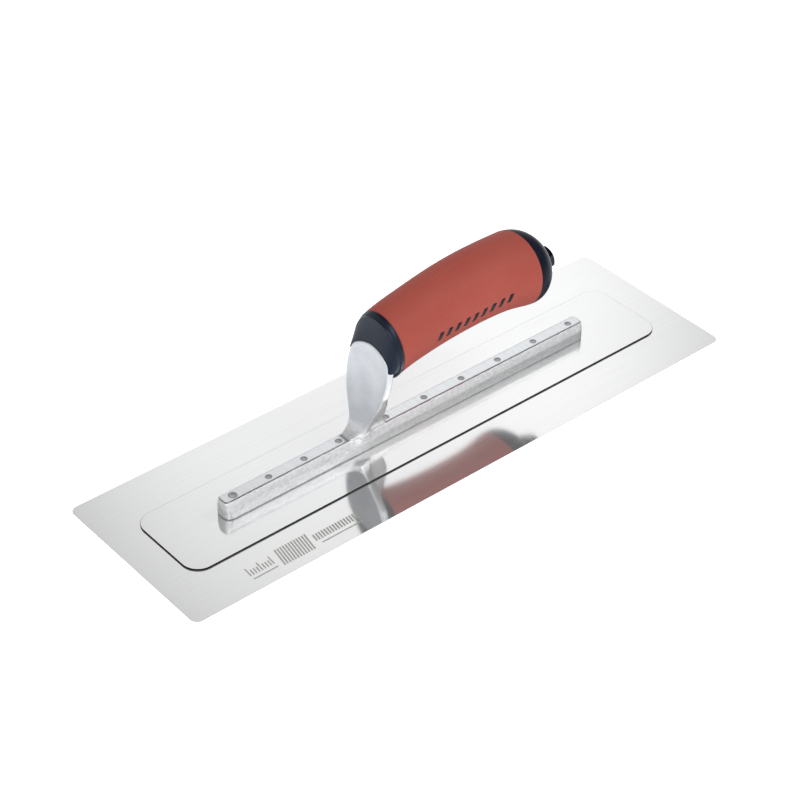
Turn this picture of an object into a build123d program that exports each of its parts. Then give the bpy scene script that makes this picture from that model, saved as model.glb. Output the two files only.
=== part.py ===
from build123d import *
import os
from math import cos, radians, sin, tan

# Steel finishing trowel.
# Frame: millimetres, origin at the bottom centre of the blade, +X from toe to heel, +Z up.

os.makedirs("parts", exist_ok=True)

# ---------------------------------------------------------------- driving dimensions
# Blade and backing plate
BLADE_LENGTH = 406.4            # 16 in
BLADE_WIDTH = 120.65            # 4 3/4 in
BLADE_THICKNESS = 0.6
BLADE_CORNER = 5.0
FILM_THICKNESS = 0.3
PLATE_LENGTH = 362.4
PLATE_WIDTH = 58.4
PLATE_THICKNESS = 0.7
PLATE_CORNER = 11.0

# Bar of the mounting
BAR_TOE_X = -141.2
BAR_HEEL_X = 137.2
BAR_BASE_WIDTH = 13.3
BAR_SHOULDER_WIDTH = 12.8
BAR_TOP_WIDTH = 8.4
BAR_CORNER = 4.0
BAR_SHOULDER_Z = 8.3
BAR_TOP_Z = 13.2

# Rivets
TOE_RIVET_X = -132.5
TOE_RIVET_RADIUS = 2.6
RIVET_RADIUS = 2.0
FRONT_RIVET_X = -107.0
FRONT_RIVET_PITCH = 25.5
FRONT_RIVET_COUNT = 3
REAR_RIVET_X = -20.1
REAR_RIVET_PITCH = 29.6
REAR_RIVET_COUNT = 6

# Shank: a leaf in front, a web behind it
LEAF_FOOT_X = -43.0             # front face of the leaf at the height of the bar's top
LEAF_LEAN = 10.8                # degrees from vertical, leaning back towards the grip
LEAF_THICKNESS = 5.2
LEAF_CROWN_Z = 71.0
LEAF_OUTLINE = [(6.8, 16.0), (11.0, 27.0), (15.6, 38.5), (17.6, 54.0), (14.2, 65.6)]  # half width, z
SHANK_SINK = 3.0                # leaf, foot and web start this far below the bar's top
SHANK_OVERLAP = 1.5             # and the web and the head start this far inside the leaf
FOOT_HALF_WIDTH = 5.2
FOOT_REACH = 8.0                # the concave foot reaches this far along the bar and up the leaf
WEB_HALF_THICKNESS = 3.2
WEB_REAR = [
    (-25.0, 62.0), (-24.6, 48.0), (-22.6, 38.0), (-20.6, 28.0),
    (-22.2, 20.8), (-24.4, 15.5), (-24.4, 12.0),
]
HEAD_RADIUS = 7.5
HEAD_Z = 62.0                   # height at which the head leaves the leaf
HEAD_END_X = -12.0

# Tang rod, washer and nut
TANG_X = 103.1                  # a point on the tang's axis, in the middle of the nut
TANG_Z = 73.3
TANG_RISE = 5.5                 # degrees, the rod climbs this much towards the rear
TANG_RADIUS = 4.0
TANG_CLEARANCE = 0.3
TANG_FRONT_X = -28.0
SEAT_RADIUS = 8.5
SEAT_X = 99.2
WASHER_THICKNESS = 1.2
WASHER_RADIUS = 8.0
NUT_ACROSS_FLATS = 13.0
NUT_HEIGHT = 5.4
NUT_TURN = 8.0                  # degrees, the nut's upper corner stopped this far towards +Y

# Handle stations: x, z, tilt of the section plane in degrees, half width, half height.
LIP_STATION = (-34.2, 56.4, -LEAF_LEAN, 18.1, 15.6)
SHOULDER_STATION = (-27.8, 66.5, 2.0, 19.5, 20.3)
COLLAR_STATION = (-23.6, 68.6, 3.5, 20.1, 20.9)
GRIP_STATIONS = [
    COLLAR_STATION,
    (-13.0, 71.7, 4.0, 20.3, 20.9),
    (5.5, 75.2, 5.0, 20.8, 21.0),
    (24.5, 77.8, 4.0, 21.5, 21.6),
    (43.0, 79.0, 1.0, 22.1, 22.1),
    (61.3, 78.7, -3.0, 23.1, 22.3),
    (78.3, 76.7, -6.0, 25.0, 23.0),
]
CHIN = [(-60.0, 61.0), (-27.2, 60.7), (-23.4, 46.0)]    # side view of the chin: a ledge, then a slope
SLEEVE_THICKNESS = 3.2
CORE_WALL = 3.2
CORE_TUBE_RADIUS = 7.5

# End cap
CAP_HEIGHT = 20.0
CAP_AXIS_DROP = -10.5           # degrees, the dome's axis points slightly down to the rear
CAP_ROUNDNESS = 2.05            # superellipse exponent of the dome
CAP_RING_COUNT = 7
CAP_WALL = 4.5
CAP_POCKET_DEPTH = 8.0
CAP_BOSS_OVERLAP = 2.0          # the seat's boss starts this far behind the pocket's floor

# Inlaid marks on both sides of the grip
INLAY_DEPTH = 0.8
INLAY_COUNT = 9
INLAY_X = 0.5
INLAY_PITCH = 6.5
INLAY_Z = 69.8
INLAY_RISE = 0.088              # the row climbs this much per millimetre
INLAY_WIDTH = 3.0
INLAY_HEIGHT = 5.6
INLAY_SLANT = 2.2

# ---------------------------------------------------------------- derived places
FILM_Z = BLADE_THICKNESS
PLATE_Z = FILM_Z + FILM_THICKNESS
BAR_Z = PLATE_Z + PLATE_THICKNESS
LEAN_SLOPE = tan(radians(LEAF_LEAN))
BASE_UP = (Align.CENTER, Align.CENTER, Align.MIN)
OVERRUN = 1.0                   # how far a cutter runs past the face it cuts
BEYOND = 200.0                  # reaches past the whole tool in any direction


def save(node, shape):
    """Write one sub-part as its own STEP file."""
    export_step(shape, f"parts/{node}.step")


# ---------------------------------------------------------------- sheets and rivets
def sheet(length, width, corner, low_z, thickness):
    """A flat sheet with rounded corners, centred on the blade."""
    return Pos(0, 0, low_z) * extrude(RectangleRounded(length, width, corner), thickness)


def post(x, radius, low_z, high_z):
    """An upright cylinder on the centre line."""
    return Pos(x, 0, low_z) * Cylinder(radius, high_z - low_z, align=BASE_UP)


def rivet_groups():
    """The (x, radius) of every rivet, by node."""
    front = [FRONT_RIVET_X + i * FRONT_RIVET_PITCH for i in range(FRONT_RIVET_COUNT)]
    rear = [REAR_RIVET_X + i * REAR_RIVET_PITCH for i in range(REAR_RIVET_COUNT)]
    return {
        "toe_rivet": [(TOE_RIVET_X, TOE_RIVET_RADIUS)],
        "front_rivets": [(x, RIVET_RADIUS) for x in front],
        "rear_rivets": [(x, RIVET_RADIUS) for x in rear],
    }


def drilled(shape, low_z, high_z):
    """The piece with every rivet's hole cut through it."""
    for places in rivet_groups().values():
        for x, radius in places:
            shape -= post(x, radius, low_z - OVERRUN, high_z + OVERRUN)
    return shape


# ---------------------------------------------------------------- handle sections
def station_plane(x, z, tilt):
    """A section plane of the handle: its normal lies in XZ, `tilt` degrees above +X."""
    normal = (cos(radians(tilt)), 0, sin(radians(tilt)))
    return Plane(origin=(x, 0, z), x_dir=(0, 1, 0), z_dir=normal)


def section(station, inset=0.0):
    """An elliptical section of the handle, `inset` mm inside its surface."""
    x, z, tilt, half_width, half_height = station
    return station_plane(x, z, tilt) * Ellipse(half_width - inset, half_height - inset)


def handle_loft(stations, inset=0.0, ruled=False):
    """The solid through several sections."""
    return loft([section(station, inset) for station in stations], ruled=ruled)


def tang_plane(x):
    """The plane square to the tang's axis where it passes x."""
    return station_plane(x, TANG_Z + (x - TANG_X) * tan(radians(TANG_RISE)), TANG_RISE)


def tang_cylinder(radius, from_x, to_x):
    """A cylinder on the tang's axis."""
    height = (to_x - from_x) / cos(radians(TANG_RISE))
    return tang_plane(from_x) * Cylinder(radius, height, align=BASE_UP)


def side_prism(points, half_thickness):
    """A flat outline in XZ, thickened equally to both sides of the centre plane."""
    return extrude(Plane.XZ * make_face(Polyline(*points, close=True)), half_thickness, both=True)


# ---------------------------------------------------------------- mounting
def bar():
    """The long low bar: near-vertical sides, sloping shoulders, flat top, ends rounded in plan."""
    half_section = [
        (BAR_BASE_WIDTH / 2, BAR_Z),
        (BAR_SHOULDER_WIDTH / 2, BAR_SHOULDER_Z),
        (BAR_TOP_WIDTH / 2, BAR_TOP_Z),
    ]
    other_half = [(-y, z) for y, z in reversed(half_section)]
    profile = make_face(Polyline(*half_section, *other_half, close=True))
    rail = extrude(Plane.YZ * profile, BEYOND, both=True)
    plan = RectangleRounded(BAR_HEEL_X - BAR_TOE_X, BAR_BASE_WIDTH, BAR_CORNER)
    return rail & Pos((BAR_HEEL_X + BAR_TOE_X) / 2, 0, 0) * extrude(plan, BAR_TOP_Z + OVERRUN)


def leaf_x(z):
    """The front face of the leaf at height z."""
    return LEAF_FOOT_X + (z - BAR_TOP_Z) * LEAN_SLOPE


def leaf():
    """The front flange of the shank: a leaning plate with a teardrop outline."""
    foot_z = BAR_TOP_Z - 2 * SHANK_SINK
    right = LEAF_OUTLINE
    left = [(-y, z) for y, z in reversed(right)]
    rim = Spline(*right, (0, LEAF_CROWN_Z), *left)
    base = Polyline(left[-1], (-right[0][0], foot_z), (right[0][0], foot_z), right[0])
    front_view = extrude(Plane.YZ * make_face(rim + base), BEYOND, both=True)
    top_z = LEAF_CROWN_Z + OVERRUN
    corners = [
        (leaf_x(foot_z), foot_z),
        (leaf_x(foot_z) + LEAF_THICKNESS, foot_z),
        (leaf_x(top_z) + LEAF_THICKNESS, top_z),
        (leaf_x(top_z), top_z),
    ]
    return side_prism(corners, BEYOND) & front_view


def foot():
    """The concave foot that blends the leaf into the bar's top."""
    low_z = BAR_TOP_Z - SHANK_SINK
    toe = (leaf_x(BAR_TOP_Z) - FOOT_REACH, BAR_TOP_Z)
    heel = (leaf_x(BAR_TOP_Z + FOOT_REACH), BAR_TOP_Z + FOOT_REACH)
    arc = TangentArc(toe, heel, tangent=(1, 0))
    back_x = leaf_x(BAR_TOP_Z) + SHANK_OVERLAP
    rest = Polyline(heel, (back_x + OVERRUN, heel[1]), (back_x, low_z), (toe[0], low_z), toe)
    return extrude(Plane.XZ * make_face(arc + rest), FOOT_HALF_WIDTH, both=True)


def web():
    """The web behind the leaf, down to the bar."""
    low_z = BAR_TOP_Z - SHANK_SINK
    top_z = WEB_REAR[0][1]
    front = [(leaf_x(low_z) + SHANK_OVERLAP, low_z), (leaf_x(top_z) + SHANK_OVERLAP, top_z)]
    return side_prism(front + WEB_REAR + [(WEB_REAR[-1][0], low_z)], WEB_HALF_THICKNESS)


def chin_cutter():
    """Everything in front of and below the collar's chin."""
    return side_prism(CHIN + [(CHIN[-1][0], 0), (CHIN[0][0], 0)], BEYOND)


def collar_body():
    """The outer form of the collar: a cone that ends in a short band."""
    front = handle_loft([LIP_STATION, SHOULDER_STATION], ruled=True)
    band = handle_loft([SHOULDER_STATION, COLLAR_STATION], ruled=True)
    return front + band


def mounting():
    """One aluminium casting: bar, leaf, web and threaded head."""
    casting = bar() + leaf() + foot() + web()
    casting += tang_cylinder(HEAD_RADIUS, leaf_x(HEAD_Z) + SHANK_OVERLAP, HEAD_END_X)
    casting = drilled(casting, BAR_Z, BAR_TOP_Z)
    return casting - tang_cylinder(TANG_RADIUS, TANG_FRONT_X, HEAD_END_X + OVERRUN)


# ---------------------------------------------------------------- handle
def front_collar(casting):
    """The black ferrule between the shank and the grip."""
    head = tang_cylinder(HEAD_RADIUS, TANG_FRONT_X, HEAD_END_X)
    return collar_body() - chin_cutter() - casting - head


def handle_core():
    """The hard core: an outer wall, a front wall and a tube around the tang."""
    core = handle_loft(GRIP_STATIONS, SLEEVE_THICKNESS)
    pocket = handle_loft(GRIP_STATIONS[1:], SLEEVE_THICKNESS + CORE_WALL)
    core -= pocket - tang_cylinder(CORE_TUBE_RADIUS, -BEYOND, BEYOND)
    core -= tang_cylinder(HEAD_RADIUS, -BEYOND, HEAD_END_X)
    return core - tang_cylinder(TANG_RADIUS + TANG_CLEARANCE, HEAD_END_X - OVERRUN, BEYOND)


def inlay_prisms():
    """Slanted bars, drawn in side view and run right through the grip."""
    prisms = []
    for i in range(INLAY_COUNT):
        x = INLAY_X + i * INLAY_PITCH
        z = INLAY_Z + i * INLAY_PITCH * INLAY_RISE
        corners = [
            (x, z),
            (x + INLAY_WIDTH, z),
            (x + INLAY_WIDTH + INLAY_SLANT, z + INLAY_HEIGHT),
            (x + INLAY_SLANT, z + INLAY_HEIGHT),
        ]
        prisms.append(side_prism(corners, BEYOND))
    return prisms


def grip_pieces():
    """The soft sleeve with its pockets, and the inlays that fill them."""
    outer = handle_loft(GRIP_STATIONS)
    skin = outer - handle_loft(GRIP_STATIONS, INLAY_DEPTH)
    sleeve = outer - handle_loft(GRIP_STATIONS, SLEEVE_THICKNESS)
    inlays = []
    for prism in inlay_prisms():
        inlays += (skin & prism).solids()
    for inlay in inlays:
        sleeve -= inlay
    return sleeve, Compound(inlays)


def end_cap():
    """The domed rear cap with a flat seat for the nut."""
    x, z, tilt, half_width, half_height = GRIP_STATIONS[-1]
    drop = radians(CAP_AXIS_DROP)
    floor_x = x + CAP_POCKET_DEPTH
    rings = []
    for i in range(CAP_RING_COUNT):
        share = sin(radians(90 * i / CAP_RING_COUNT))
        size = (1 - share ** CAP_ROUNDNESS) ** (1 / CAP_ROUNDNESS)
        ring_x = x + CAP_HEIGHT * share * cos(drop)
        ring_z = z + CAP_HEIGHT * share * sin(drop)
        ring_tilt = tilt + (CAP_AXIS_DROP - tilt) * share
        rings.append((ring_x, ring_z, ring_tilt, half_width * size, half_height * size))
    cap = handle_loft(rings)
    pocket = extrude(section(GRIP_STATIONS[-1], CAP_WALL), CAP_POCKET_DEPTH)
    cap -= pocket - tang_cylinder(SEAT_RADIUS, 0, BEYOND)
    cap += tang_cylinder(SEAT_RADIUS, floor_x + CAP_BOSS_OVERLAP, SEAT_X)
    return cap - tang_cylinder(TANG_RADIUS + TANG_CLEARANCE, 0, BEYOND)


# ---------------------------------------------------------------- tang hardware
def washer():
    ring = Cylinder(WASHER_RADIUS, WASHER_THICKNESS, align=BASE_UP)
    ring -= Cylinder(TANG_RADIUS + TANG_CLEARANCE, WASHER_THICKNESS, align=BASE_UP)
    return tang_plane(SEAT_X) * ring


def lock_nut():
    hexagon = RegularPolygon(NUT_ACROSS_FLATS / 2, 6, major_radius=False, rotation=30 - NUT_TURN)
    nut = extrude(hexagon - Circle(TANG_RADIUS), NUT_HEIGHT)
    return tang_plane(SEAT_X + WASHER_THICKNESS) * nut


casting = mounting()
sleeve, inlays = grip_pieces()
film = sheet(PLATE_LENGTH, PLATE_WIDTH, PLATE_CORNER, FILM_Z, FILM_THICKNESS)
plate = sheet(PLATE_LENGTH, PLATE_WIDTH, PLATE_CORNER, PLATE_Z, PLATE_THICKNESS)
nut_end_x = SEAT_X + WASHER_THICKNESS + NUT_HEIGHT

save("blade", sheet(BLADE_LENGTH, BLADE_WIDTH, BLADE_CORNER, 0, BLADE_THICKNESS))
save("bond_film", drilled(film, FILM_Z, PLATE_Z))
save("backing_plate", drilled(plate, PLATE_Z, BAR_Z))
save("mounting", casting)
for node, places in rivet_groups().items():
    save(node, Compound([post(x, radius, FILM_Z, BAR_TOP_Z).solid() for x, radius in places]))
save("front_collar", front_collar(casting))
save("handle_core", handle_core())
save("grip_sleeve", sleeve)
save("grip_inlay", inlays)
save("end_cap", end_cap())
save("tang_rod", tang_cylinder(TANG_RADIUS, TANG_FRONT_X, nut_end_x))
save("washer", washer())
save("lock_nut", lock_nut())
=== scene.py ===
"""Steel finishing trowel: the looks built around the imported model.

Lengths are millimetres until a mesh is made.
"""
from math import cos, pi, radians, sin, tan

import bmesh
import bpy
import numpy as np
from mathutils import Matrix, Vector, noise
from mathutils.bvhtree import BVHTree


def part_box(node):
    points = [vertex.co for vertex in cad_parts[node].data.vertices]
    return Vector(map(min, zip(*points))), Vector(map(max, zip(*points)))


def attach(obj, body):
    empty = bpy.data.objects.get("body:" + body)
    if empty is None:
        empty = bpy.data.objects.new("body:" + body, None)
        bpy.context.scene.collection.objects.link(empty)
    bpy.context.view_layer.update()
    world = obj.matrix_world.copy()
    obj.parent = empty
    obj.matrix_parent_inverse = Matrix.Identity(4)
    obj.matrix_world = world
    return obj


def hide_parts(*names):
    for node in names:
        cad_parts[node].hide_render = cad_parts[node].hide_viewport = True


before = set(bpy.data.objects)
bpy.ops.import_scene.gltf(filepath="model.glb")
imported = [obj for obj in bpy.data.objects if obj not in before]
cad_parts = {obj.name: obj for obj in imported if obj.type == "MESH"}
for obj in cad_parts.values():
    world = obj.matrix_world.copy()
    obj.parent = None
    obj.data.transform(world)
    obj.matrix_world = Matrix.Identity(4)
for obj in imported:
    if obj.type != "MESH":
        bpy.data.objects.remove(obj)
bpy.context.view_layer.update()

MM = 0.001


def box_mm(node):
    """The lowest and highest corners of a node, in millimetres."""
    low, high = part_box(node)
    return np.array(low) / MM, np.array(high) / MM


# ---------------------------------------------------------------- places read from the frame
BLADE_LOW, BLADE_HIGH = box_mm("blade")
PLATE_LOW, PLATE_HIGH = box_mm("backing_plate")
FILM_BOTTOM = box_mm("bond_film")[0][2]
BAR_BOTTOM = box_mm("mounting")[0][2]
BAR_TOP = box_mm("toe_rivet")[1][2]

# ---------------------------------------------------------------- dimensions shared with the model
BLADE_CORNER = 5.0
PLATE_CORNER = 11.0
BAR_TOE_X = -141.2
BAR_HEEL_X = 137.2
BAR_BASE_WIDTH = 13.3
BAR_SHOULDER_WIDTH = 12.8
BAR_TOP_WIDTH = 8.4
BAR_CORNER = 5.4
BAR_SHOULDER_Z = 8.3
TOE_RIVET = (-132.5, 2.6)
FRONT_RIVETS = [(-107.0 + 25.5 * i, 2.0) for i in range(3)]
REAR_RIVETS = [(-20.1 + 29.6 * i, 2.0) for i in range(6)]
LEAF_FOOT_X = -43.0
LEAF_LEAN = radians(10.8)
LEAF_THICKNESS = 5.2
LEAF_CROWN_Z = 71.0
SIDE_GROUND_Z = 43.0            # above this height the side of the leaf is sanded too
LEAF_OUTLINE = [(6.8, 6.0), (6.8, 16.0), (11.0, 27.0), (15.6, 38.5), (17.6, 54.0), (14.2, 65.6)]
WEB_HALF_THICKNESS = 3.2
WEB_REAR = [
    (-25.0, 62.0), (-24.6, 48.0), (-22.6, 38.0), (-20.6, 28.0),
    (-22.2, 20.8), (-24.4, 15.5), (-24.4, 10.0),
]
SIDE_FLARE = 2.6                # the shank may spread this much wider per unit of height
HEAD_RADIUS = 7.5
HEAD_END_X = -12.0
TANG_X = 103.1
TANG_Z = 73.3
TANG_RISE = radians(5.5)
TANG_RADIUS = 4.0
TANG_CLEARANCE = 0.3
TANG_FRONT_X = -28.0
SEAT_RADIUS = 8.5
SEAT_X = 99.2
WASHER_THICKNESS = 1.2
WASHER_RADIUS = 8.0
NUT_ACROSS_FLATS = 13.0
NUT_HEIGHT = 5.4
NUT_TURN = radians(8)           # its upper corner stopped this far towards +Y
# handle stations: x, z, tilt of the section in degrees, half width, half height
LIP = (-34.2, 56.4, -10.8, 18.1, 15.6)
SHOULDER = (-27.8, 66.5, 2.0, 19.5, 20.3)
GRIP_STATIONS = [
    (-23.6, 68.6, 3.5, 20.1, 20.9),
    (-13.0, 71.7, 4.0, 20.3, 20.9),
    (5.5, 75.2, 5.0, 20.8, 21.0),
    (24.5, 77.8, 4.0, 21.5, 21.6),
    (43.0, 79.0, 1.0, 22.1, 22.1),
    (61.3, 78.7, -3.0, 23.1, 22.3),
    (78.3, 76.7, -6.0, 25.0, 23.0),
]
SEAM_HEIGHT = 0.2               # the parting line stands this far out of the sleeve
SLEEVE_THICKNESS = 3.2
CAP_HEIGHT = 20.0
CAP_AXIS_DROP = -10.5
CAP_ROUNDNESS = 2.05
CAP_WALL = 4.5
CAP_POCKET_DEPTH = 8.0
CHIN = [(-60.0, 61.0), (-27.2, 60.7), (-23.4, 46.0)]
INLAY_DEPTH = 0.8
INLAY_COUNT = 9
INLAY_X = 0.5
INLAY_PITCH = 6.5
INLAY_Z = 69.8
INLAY_RISE = 0.088
INLAY_WIDTH = 3.0
INLAY_HEIGHT = 5.6
INLAY_SLANT = 2.2
# etched marks on the blade: where the row starts
ETCH_X = -157.5
ETCH_Y = -49.0


# ---------------------------------------------------------------- mesh helpers
def make_object(name, vertices, faces):
    """A mesh object from vertices in millimetres."""
    mesh = bpy.data.meshes.new(name)
    mesh.from_pydata((np.asarray(vertices) * MM).tolist(), [], faces)
    work = bmesh.new()
    work.from_mesh(mesh)
    bmesh.ops.recalc_face_normals(work, faces=work.faces)
    work.to_mesh(mesh)
    work.free()
    made = bpy.data.objects.new(name, mesh)
    bpy.context.scene.collection.objects.link(made)
    return made


def loft_faces(ring_count, ring_size, closed):
    """Quads between neighbouring rings, with end caps unless the last ring joins the first."""
    faces = []
    for i in range(ring_count if closed else ring_count - 1):
        low = i * ring_size
        high = (i + 1) % ring_count * ring_size
        for j in range(ring_size):
            k = (j + 1) % ring_size
            faces.append((low + j, low + k, high + k, high + j))
    if not closed:
        faces.append(tuple(range(ring_size)))
        faces.append(tuple(range((ring_count - 1) * ring_size, ring_count * ring_size)))
    return faces


def loft(name, rings, closed=False):
    """An object through rings that have the same number of points."""
    return make_object(name, np.concatenate(rings), loft_faces(len(rings), len(rings[0]), closed))


def smooth(piece, angle=30):
    """Smooth shading that keeps edges sharper than the angle."""
    piece.data.shade_smooth()
    piece.data.set_sharp_from_angle(angle=radians(angle))
    return piece


def dress(piece, slot, material, *nodes):
    """Give a finished piece its material, its body and the nodes it stands for."""
    piece.data.materials.clear()
    piece.data.materials.append(material)
    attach(piece, "root")
    if nodes:
        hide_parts(*nodes)
    return piece


def joined(name, pieces):
    """Several objects made into one."""
    work = bmesh.new()
    for piece in pieces:
        work.from_mesh(piece.data)
        bpy.data.objects.remove(piece)
    mesh = bpy.data.meshes.new(name)
    work.to_mesh(mesh)
    work.free()
    made = bpy.data.objects.new(name, mesh)
    bpy.context.scene.collection.objects.link(made)
    return made


def carve(piece, cutter, operation="DIFFERENCE"):
    """Apply one exact boolean and drop the cutter."""
    modifier = piece.modifiers.new("carve", "BOOLEAN")
    modifier.operation = operation
    modifier.solver = "EXACT"
    modifier.object = cutter
    evaluated = piece.evaluated_get(bpy.context.evaluated_depsgraph_get())
    mesh = bpy.data.meshes.new_from_object(evaluated)
    piece.modifiers.clear()
    piece.data = mesh
    bpy.data.objects.remove(cutter)
    return piece


# ---------------------------------------------------------------- curves and turned shapes
def smooth_line(points, per_span=12):
    """A Catmull-Rom curve through points of any dimension."""
    points = np.array(points, float)
    padded = np.concatenate([[2 * points[0] - points[1]], points, [2 * points[-1] - points[-2]]])
    t = np.linspace(0, 1, per_span, endpoint=False)[:, None]
    spans = []
    for a, b, c, d in zip(padded, padded[1:], padded[2:], padded[3:]):
        bend = 2 * a - 5 * b + 4 * c - d + t * (3 * (b - c) + d - a)
        spans.append(b + 0.5 * t * (c - a + t * bend))
    return np.concatenate(spans + [points[-1:]])


def even_angles(count):
    """Angles spread evenly round a circle."""
    return np.arange(count) * 2 * pi / count


def round_ring(radius, angles, height):
    """Points round the z axis; radius and height may vary with the angle."""
    return np.stack(np.broadcast_arrays(radius * np.cos(angles), radius * np.sin(angles), height), 1)


def turned(name, profile, place, segments=64, closed=False):
    """A turned shape: (radius, height) points round the z axis, then placed."""
    angles = even_angles(segments)
    return loft(name, [place(round_ring(radius, angles, height)) for radius, height in profile], closed)


def tang_frame(x):
    """A function that carries points from the z axis onto the tang's axis, starting at x."""
    origin = np.array([x, 0, TANG_Z + (x - TANG_X) * tan(TANG_RISE)])
    along = np.array([cos(TANG_RISE), 0, sin(TANG_RISE)])
    across = np.array([0, 1, 0])
    upward = np.cross(along, across)
    return lambda ring: origin + ring[:, :1] * across + ring[:, 1:2] * upward + ring[:, 2:] * along


def ellipse(station, angles, inset=0.0, shift=0.0):
    """An elliptical section of the handle; inset may be one value or one for each angle."""
    x, z, tilt, half_width, half_height = station
    tilt = radians(tilt)
    y = (half_width - inset) * np.cos(angles)
    rise = (half_height - inset) * np.sin(angles)
    along = x - rise * sin(tilt) + shift * cos(tilt)
    up = z + rise * cos(tilt) + shift * sin(tilt)
    return np.stack([along, y, up], 1)


# ---------------------------------------------------------------- smooth solids by distance
def smooth_max(a, b, k):
    """The greater of two distances, rounded where they meet."""
    near = np.maximum(k - np.abs(a - b), 0) / k
    return np.maximum(a, b) + near ** 3 * k / 6


def smooth_min(a, b, k):
    """The lesser of two distances, filleted where they meet."""
    return -smooth_max(-a, -b, k)


def outline_distance(points, margin=12.0, step=0.25):
    """A function of two coordinates: the distance to a closed flat outline, negative inside."""
    points = np.array(points)
    low = points.min(0) - margin
    counts = np.ceil((points.max(0) + margin - low) / step).astype(int) + 2
    u, v = np.meshgrid(*[low[i] + step * np.arange(counts[i]) for i in range(2)], indexing="ij")
    best = np.full(u.shape, np.inf)
    inside = np.zeros(u.shape, bool)
    for a, b in zip(points, np.roll(points, -1, 0)):
        edge = b - a
        share = np.clip(((u - a[0]) * edge[0] + (v - a[1]) * edge[1]) / max(edge @ edge, 1e-9), 0, 1)
        best = np.minimum(best, np.hypot(u - a[0] - share * edge[0], v - a[1] - share * edge[1]))
        if edge[1] != 0:
            inside ^= ((a[1] > v) != (b[1] > v)) & (u < edge[0] * (v - a[1]) / edge[1] + a[0])
    table = np.where(inside, -best, best)

    def distance(s, t):
        s = np.clip((s - low[0]) / step, 0, counts[0] - 1.001)
        t = np.clip((t - low[1]) / step, 0, counts[1] - 1.001)
        i, j = s.astype(int), t.astype(int)
        s, t = s - i, t - j
        near = table[i, j] * (1 - s) + table[i + 1, j] * s
        far = table[i, j + 1] * (1 - s) + table[i + 1, j + 1] * s
        return near * (1 - t) + far * t

    return distance


def surface_net(field, low, high, step):
    """Vertices and quads on a field's zero surface, one vertex in each grid cell that it crosses."""
    axes = [np.arange(a, b + step, step) for a, b in zip(low, high)]
    values = np.stack([field(*np.meshgrid([x], axes[1], axes[2], indexing="ij"))[0] for x in axes[0]])
    inside = values < 0
    size = np.array(values.shape) - 1
    corners = [(i, j, k) for i in (0, 1) for j in (0, 1) for k in (0, 1)]
    count = sum(inside[i:i + size[0], j:j + size[1], k:k + size[2]].astype(int) for i, j, k in corners)
    mixed = (count > 0) & (count < 8)
    cells = np.argwhere(mixed)
    index = np.full(mixed.shape, -1)
    index[mixed] = np.arange(len(cells))
    total = np.zeros((len(cells), 3))
    crossings = np.zeros(len(cells))
    for start in corners:
        for axis in range(3):
            if start[axis]:
                continue
            end = np.array(start) + np.eye(3, dtype=int)[axis]
            a = values[tuple((cells + start).T)]
            b = values[tuple((cells + end).T)]
            crossed = (a < 0) != (b < 0)
            share = np.where(crossed, a / np.where(crossed, a - b, 1), 0)
            point = np.array(start) + share[:, None] * np.eye(3)[axis]
            total += point * crossed[:, None]
            crossings += crossed
    points = np.array(low) + (cells + total / crossings[:, None]) * step
    for _ in range(4):
        points -= pull(field, points, step)
    faces = []
    for axis in range(3):
        others = [a for a in range(3) if a != axis]
        a = inside.take(range(size[axis]), axis)
        b = inside.take(range(1, size[axis] + 1), axis)
        edges = np.argwhere(a != b)
        edges = edges[(edges[:, others] > 0).all(1) & (edges[:, others] < size[others]).all(1)]
        square = [(0, 0), (1, 0), (1, 1), (0, 1)]
        quad = []
        for p, q in square:
            cell = edges.copy()
            cell[:, others[0]] -= p
            cell[:, others[1]] -= q
            quad.append(index[tuple(cell.T)])
        faces.append(np.stack(quad, 1))
    return points, np.concatenate(faces)


def gradient(field, points, reach=0.05):
    """The slope of a field at points."""
    slopes = []
    for axis in range(3):
        offset = np.eye(3)[axis] * reach
        slopes.append((field(*(points + offset).T) - field(*(points - offset).T)) / (2 * reach))
    return np.stack(slopes, 1)


def pull(field, points, limit):
    """The step that takes points onto the zero surface of a field."""
    slope = gradient(field, points)
    move = field(*points.T)[:, None] * slope / np.maximum((slope ** 2).sum(1), 0.2)[:, None]
    length = np.linalg.norm(move, axis=1)[:, None]
    return move * np.minimum(1, limit / np.maximum(length, 1e-9))


# ---------------------------------------------------------------- the casting
def leaf_front(z):
    """The x of the leaf's front face at a height."""
    return LEAF_FOOT_X + (z - BAR_TOP) * tan(LEAF_LEAN)


def leaf_outline():
    """The leaf seen from the front."""
    last_y, last_z = LEAF_OUTLINE[-1]
    right = smooth_line(LEAF_OUTLINE + [(0.0, LEAF_CROWN_Z), (-last_y, last_z)])
    right = right[right[:, 0] >= 0]
    return np.concatenate([right, right[::-1] * [-1, 1]])


def web_outline():
    """The web seen from the side."""
    rear = smooth_line(WEB_REAR)
    low_z, high_z = rear[-1, 1], rear[0, 1]
    inner = LEAF_THICKNESS - 0.8
    front = [(leaf_front(low_z) + inner, low_z), (leaf_front(high_z) + inner, high_z)]
    return np.concatenate([front, rear])


leaf_edge = outline_distance(leaf_outline())
web_edge = outline_distance(web_outline())


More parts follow.
